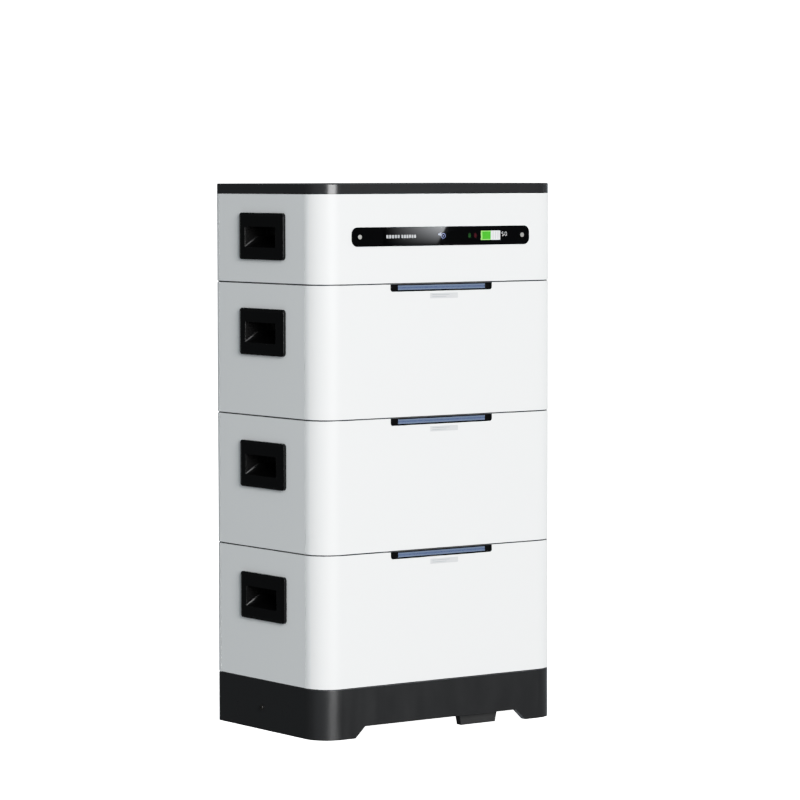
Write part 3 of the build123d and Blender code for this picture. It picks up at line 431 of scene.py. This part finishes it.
def figure_bars(figure, x):
    """Strokes of one seven-segment figure, cut so that they don't overlap."""
    half = FIGURE_TALL / 2
    side = FIGURE_WIDE / 2
    flat = (FIGURE_WIDE - STROKE * 1.1, STROKE)
    upright = (STROKE, half - STROKE * 1.1)
    strokes = {
        "a": (0.0, half, flat), "g": (0.0, 0.0, flat), "d": (0.0, -half, flat),
        "f": (-side, half / 2, upright), "b": (side, half / 2, upright),
        "e": (-side, -half / 2, upright), "c": (side, -half / 2, upright),
    }
    bars = []
    for key in SEGMENTS[figure]:
        across, rise, (wide, tall) = strokes[key]
        bars.append((rounded_outline(wide, tall, STROKE * 0.3, 2), x + across, FIGURE_RISE + rise))
    return bars


def display_marks():
    """Dashes in place of a name, a ring icon, two lights, the charge gauge and its figure."""
    white = printed("mark_white", (0.84, 0.85, 0.86), 0.05)
    dashes = [between(left + count * (wide + gap), left + count * (wide + gap) + wide, DASH_TALL, 0.8)
              for left, total, wide, gap in DASH_GROUPS for count in range(total)]
    bar_marks("bar_dashes", dashes, printed("mark_grey", (0.52, 0.53, 0.54), 0.05))
    blue = printed("mark_blue", (0.26, 0.32, 0.62), 0.05)
    signal = [(rounded_outline(1.8, tall, 0.5, 3), x, SIGNAL_RISE) for x, tall in SIGNAL_BARS]
    bar_marks("bar_signal", signal, printed("mark_blue_white", (0.50, 0.54, 0.66), 0.05))
    build = bmesh.new()
    add_ring(build, ICON_RADIUS * MM, 1.1 * MM, BAR_MIDDLE_X + ICON_X * MM, BAR_MIDDLE_Z, bar_low.y, MARK)
    piece("bar_status_ring", build, blue, "control")
    bar_marks("bar_status_dot", [(rounded_outline(2.4, 2.4, 1.19, 5), ICON_X, 0.0)], blue)
    light = rounded_outline(LIGHT_WIDE, LIGHT_TALL, LIGHT_WIDE * 0.48)
    green = printed("mark_green_dim", (0.011, 0.064, 0.012), 0.05)
    bar_marks("bar_green_light", [(light, GREEN_LIGHT_X, 0.0)], green)
    red = printed("mark_red_dim", (0.060, 0.005, 0.010), 0.05)
    bar_marks("bar_red_light", [(light, RED_LIGHT_X, 0.0)], red)
    bar_marks("gauge_border", [between(GAUGE_LEFT, GAUGE_SPLIT, GAUGE_TALL, 0.8)],
              printed("gauge_light_green", (0.40, 0.80, 0.22), 0.1))
    charge = between(GAUGE_LEFT + 2 * GAUGE_RIM, GAUGE_SPLIT, GAUGE_TALL - 2 * GAUGE_RIM, 0.4)
    bar_marks("gauge_charge", [charge], printed("gauge_green", (0.085, 0.500, 0.035), 0.1), layer=1)
    bar_marks("gauge_empty", [between(GAUGE_SPLIT, GAUGE_RIGHT, GAUGE_TALL, 0.8)], white)
    step = (GAUGE_RIGHT - GAUGE_SPLIT) / GAUGE_BARS
    places = [GAUGE_SPLIT + step * count for count in range(1, GAUGE_BARS)]
    lines = [between(place - 0.35, place + 0.35, GAUGE_TALL * 0.8, 0.2) for place in places]
    bar_marks("gauge_dividers", lines, printed("gauge_divider", (0.36, 0.37, 0.40)), layer=1)
    figures = [shape for figure, x in FIGURES for shape in figure_bars(figure, x)]
    bar_marks("bar_figure", figures, white)


# Nameplate under each light bar, in millimetres from the lens's middle and from the module's top
PLATE_X = 6.0
PLATE_WIDE = 70.0
PLATE_TALL = 10.7
PLATE_RADIUS = 1.2
PLATE_DROP = 24.2
PLATE_THICK = 0.35
PLATE_LINES = ((-8.0, 1.9, 44.0), (-12.0, -1.9, 36.0))


def nameplates():
    """Blank pale label with two plain rules, where each module carries its nameplate."""
    film = label_film("label_grey", (0.62, 0.63, 0.64))
    ink = label_film("label_rule", (0.44, 0.45, 0.46))
    for unit in BATTERIES:
        low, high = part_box(unit + "_shell")
        lens_low, lens_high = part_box(unit + "_light_lens")
        x = (lens_low.x + lens_high.x) / 2 + PLATE_X * MM
        z = high.z - PLATE_DROP * MM
        build = bmesh.new()
        outline = rounded_outline(PLATE_WIDE * MM, PLATE_TALL * MM, PLATE_RADIUS * MM)
        add_plate(build, outline, x, z, low.y, PLATE_THICK * MM)
        piece(unit + "_nameplate", build, film, unit)
        build = bmesh.new()
        for offset, rise, wide in PLATE_LINES:
            outline = rounded_outline(wide * MM, 1.4 * MM, 0.5 * MM, 3)
            add_plate(build, outline, x + offset * MM, z + rise * MM, low.y - PLATE_THICK * MM, MARK)
        piece(unit + "_nameplate_rules", build, ink, unit)


display_marks()
nameplates()


# ---------------------------------------------------------------- stage, light and camera

VIEW_BEARING = math.radians(35.85)
VIEW_PITCH = math.radians(3.642)
LOOK = Vector((math.sin(VIEW_BEARING) * math.cos(VIEW_PITCH), math.cos(VIEW_BEARING) * math.cos(VIEW_PITCH),
               -math.sin(VIEW_PITCH)))
FRONT_MIRROR = Vector((LOOK.x, -LOOK.y, LOOK.z))
SIDE_MIRROR = Vector((-LOOK.x, LOOK.y, LOOK.z))
CAMERA_LEFT = 4.0363
CAMERA_FORWARD = 5.8572
CAMERA_HEIGHT = 1.135
CAMERA_LENS = 162.3
CAMERA_ROLL = math.radians(-0.08)
LIGHTS_AIM = (0.0, 0.0, 0.6)
PAPER_LEVEL = 1.6

# Light in the room: even level on matt faces, level that glossy faces mirror, and its changes by direction
AMBIENT = 0.285
WALL_LEVEL = 0.23
WALL_LOBES = (
    (LOOK, 0.74, 0.94, 1.0),
    (SIDE_MIRROR, 0.45, 0.85, -0.175),
    (FRONT_MIRROR, 0.80, 0.96, -0.19),
)
SHOULDER = ((0.35, 0.35), (0.70, 0.70), (1.04, 0.888))
SHOULDER_END = (1.30, 1.0)


def sheet_object(name, corners, material, shades=()):
    """Four-cornered sheet, with a place on the sheet's own map for each corner."""
    mesh = bpy.data.meshes.new(name)
    mesh.from_pydata(corners, [], [(0, 1, 2, 3)])
    mesh.materials.append(material)
    if shades:
        layer = mesh.uv_layers.new(name="shade")
        for loop in mesh.loops:
            layer.data[loop.index].uv = shades[loop.vertex_index]
    made = bpy.data.objects.new(name, mesh)
    bpy.context.scene.collection.objects.link(made)
    return made


def floor():
    """Plain pale floor that glows a little, so that it stays pale under the object."""
    half = 60.0
    surface = Surface("floor_pale", Roughness=0.9, Specular_IOR_Level=0.1, Emission_Strength=1.5)
    surface.colour(surface.blend(surface.noise(2.0), (0.86, 0.86, 0.86, 1.0), (0.88, 0.88, 0.88, 1.0)))
    surface.put(surface.shader.inputs["Emission Color"], (1.0, 1.0, 1.0, 1.0))
    plane = sheet_object("floor", [(-half, -half, 0), (half, -half, 0), (half, half, 0), (-half, half, 0)],
                         surface.material)
    plane.visible_diffuse = False
    plane.visible_glossy = False


def aimed(holder, place, target):
    """Stand a light at a place, facing a target."""
    holder.location = place
    holder.rotation_mode = "QUATERNION"
    holder.rotation_quaternion = (Vector(target) - Vector(place)).to_track_quat("-Z", "Y")
    bpy.context.scene.collection.objects.link(holder)
    return holder


def softbox(name, bearing, distance, height, wide, tall, level, role):
    """Soft light on a stand: role "fill" shows in no reflection, role "glint" shows in reflections alone.

    Bearing is degrees from -Y towards +X; level is what a white face turned to the light gets."""
    light = bpy.data.lights.new(name, "AREA")
    light.shape = "RECTANGLE"
    light.size = wide
    light.size_y = tall
    light.energy = level * (math.pi * distance) ** 2
    angle = math.radians(bearing)
    place = (distance * math.sin(angle), -distance * math.cos(angle), height)
    lamp = aimed(bpy.data.objects.new(name, light), place, LIGHTS_AIM)
    lamp.visible_glossy = role == "glint"
    lamp.visible_diffuse = role == "fill"


# Outline of the reflection on the display bar, in millimetres from its middle: the far end is cut on a slant
CARD_OUTLINE = ((-146.2, -24.0), (-17.0, -24.0), (12.4, 24.0), (-146.2, 24.0))
CARD_FULL = (9.5, 19.2)
CARD_NONE = (-146.2, -19.2)
CARD_DISTANCE = 0.6
CARD_GLOW = 10.0


def reflection_card(eye):
    """Graded soft card, seen only as a reflection in the display bar; it stands where the bar mirrors it."""
    surface = Surface("card_glow", Base_Color=(0.0, 0.0, 0.0, 1.0), Roughness=1.0, Specular_IOR_Level=0.0)
    on_sheet = surface.node("ShaderNodeTexCoord").outputs["UV"]
    parts = surface.node("ShaderNodeSeparateXYZ", {"Vector": on_sheet})
    along = surface.math("POWER", surface.math("MAXIMUM", parts.outputs["X"], 0.0), 1.6)
    up = surface.math("POWER", surface.math("MAXIMUM", parts.outputs["Y"], 0.0), 1.05)
    glow = surface.math("MULTIPLY", surface.math("MULTIPLY", along, up), CARD_GLOW)
    surface.put(surface.shader.inputs["Emission Color"], (0.93, 0.96, 1.0, 1.0))
    surface.put(surface.shader.inputs["Emission Strength"], glow)
    corners = []
    shades = []
    for x, z in CARD_OUTLINE:
        on_bar = Vector((BAR_MIDDLE_X + x * MM, bar_low.y, BAR_MIDDLE_Z + z * MM))
        seen = (on_bar - eye).normalized()
        corners.append(on_bar + CARD_DISTANCE * Vector((seen.x, -seen.y, seen.z)))
        shades.append(((x - CARD_NONE[0]) / (CARD_FULL[0] - CARD_NONE[0]),
                       (z - CARD_NONE[1]) / (CARD_FULL[1] - CARD_NONE[1])))
    card = sheet_object("reflection_card", corners, surface.material, shades)
    card.visible_camera = False
    card.visible_diffuse = False
    card.visible_shadow = False


def studio_walls(ambient, level, lobes):
    """Even light from all round, dimmer walls for glossy parts to mirror, and pale paper behind the object.

    Each lobe of the walls is (direction, cosine where it starts, cosine where full, change of level)."""
    world = bpy.data.worlds.new("studio")
    world.use_nodes = True
    tree = world.node_tree
    place = tree.nodes.new("ShaderNodeTexCoord")
    total = None
    for direction, starts, full, change in lobes:
        facing = tree.nodes.new("ShaderNodeVectorMath")
        facing.operation = "DOT_PRODUCT"
        facing.inputs[1].default_value = direction
        tree.links.new(place.outputs["Generated"], facing.inputs[0])
        glow = tree.nodes.new("ShaderNodeMapRange")
        glow.interpolation_type = "SMOOTHSTEP"
        for key, value in (("From Min", starts), ("From Max", full), ("To Min", 0.0), ("To Max", change)):
            glow.inputs[key].default_value = value
        tree.links.new(facing.outputs["Value"], glow.inputs["Value"])
        add = tree.nodes.new("ShaderNodeMath")
        add.operation = "ADD"
        add.inputs[1].default_value = level
        tree.links.new(glow.outputs["Result"], add.inputs[0])
        if total is not None:
            tree.links.new(total, add.inputs[1])
        total = add.outputs["Value"]
    walls = tree.nodes["Background"]
    walls.inputs["Color"].default_value = (0.92, 1.0, 1.05, 1.0)
    which = tree.nodes.new("ShaderNodeLightPath")
    strength = tree.nodes.new("ShaderNodeMix")
    strength.inputs["B"].default_value = ambient
    tree.links.new(which.outputs["Is Diffuse Ray"], strength.inputs["Factor"])
    tree.links.new(total, strength.inputs["A"])
    tree.links.new(strength.outputs["Result"], walls.inputs["Strength"])
    shown = tree.nodes.new("ShaderNodeBackground")
    shown.inputs["Color"].default_value = (1.0, 1.0, 1.0, 1.0)
    shown.inputs["Strength"].default_value = PAPER_LEVEL
    mix = tree.nodes.new("ShaderNodeMixShader")
    tree.links.new(which.outputs["Is Camera Ray"], mix.inputs["Fac"])
    tree.links.new(walls.outputs[0], mix.inputs[1])
    tree.links.new(shown.outputs[0], mix.inputs[2])
    tree.links.new(mix.outputs[0], tree.nodes["World Output"].inputs["Surface"])
    bpy.context.scene.world = world


def film_shoulder():
    """Standard colours with a gentle shoulder, so that lit white paint keeps its shape below paper white."""
    settings = bpy.context.scene.view_settings
    settings.view_transform = "Standard"
    settings.look = "None"
    settings.use_curve_mapping = True
    mapping = settings.curve_mapping
    mapping.use_clip = False
    mapping.extend = "EXTRAPOLATED"
    curve = mapping.curves[3]
    curve.points[0].location = (0.0, 0.0)
    curve.points[1].location = SHOULDER_END
    for place in SHOULDER:
        curve.points.new(*place)
    for point in curve.points:
        point.handle_type = "VECTOR"
    mapping.update()


def camera():
    """Long lens from the front left, near the top of the stack, set out from its near corner."""
    corner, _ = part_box("battery_1_shell")
    eye = bpy.data.cameras.new("camera")
    eye.lens = CAMERA_LENS
    eye.sensor_width = 36.0
    eye.clip_end = 200.0
    holder = bpy.data.objects.new("camera", eye)
    holder.location = (corner.x - CAMERA_LEFT, corner.y - CAMERA_FORWARD, CAMERA_HEIGHT)
    holder.rotation_mode = "QUATERNION"
    roll = Quaternion((0.0, 0.0, 1.0), CAMERA_ROLL)
    holder.rotation_quaternion = LOOK.to_track_quat("-Z", "Y") @ roll
    bpy.context.scene.collection.objects.link(holder)
    bpy.context.scene.camera = holder
    return holder.location.copy()


floor()
studio_walls(AMBIENT, WALL_LEVEL, WALL_LOBES)
softbox("key", bearing=-19.0, distance=14.0, height=3.9, wide=4.6, tall=6.0, level=1.090, role="fill")
softbox("window", bearing=-8.0, distance=8.0, height=2.6, wide=5.2, tall=5.2, level=2.1, role="glint")
softbox("right_fill", bearing=86.0, distance=8.0, height=2.0, wide=3.8, tall=4.0, level=0.45, role="fill")
softbox("back", bearing=172.0, distance=6.0, height=3.0, wide=3.0, tall=2.0, level=0.6, role="fill")
reflection_card(camera())
film_shoulder()
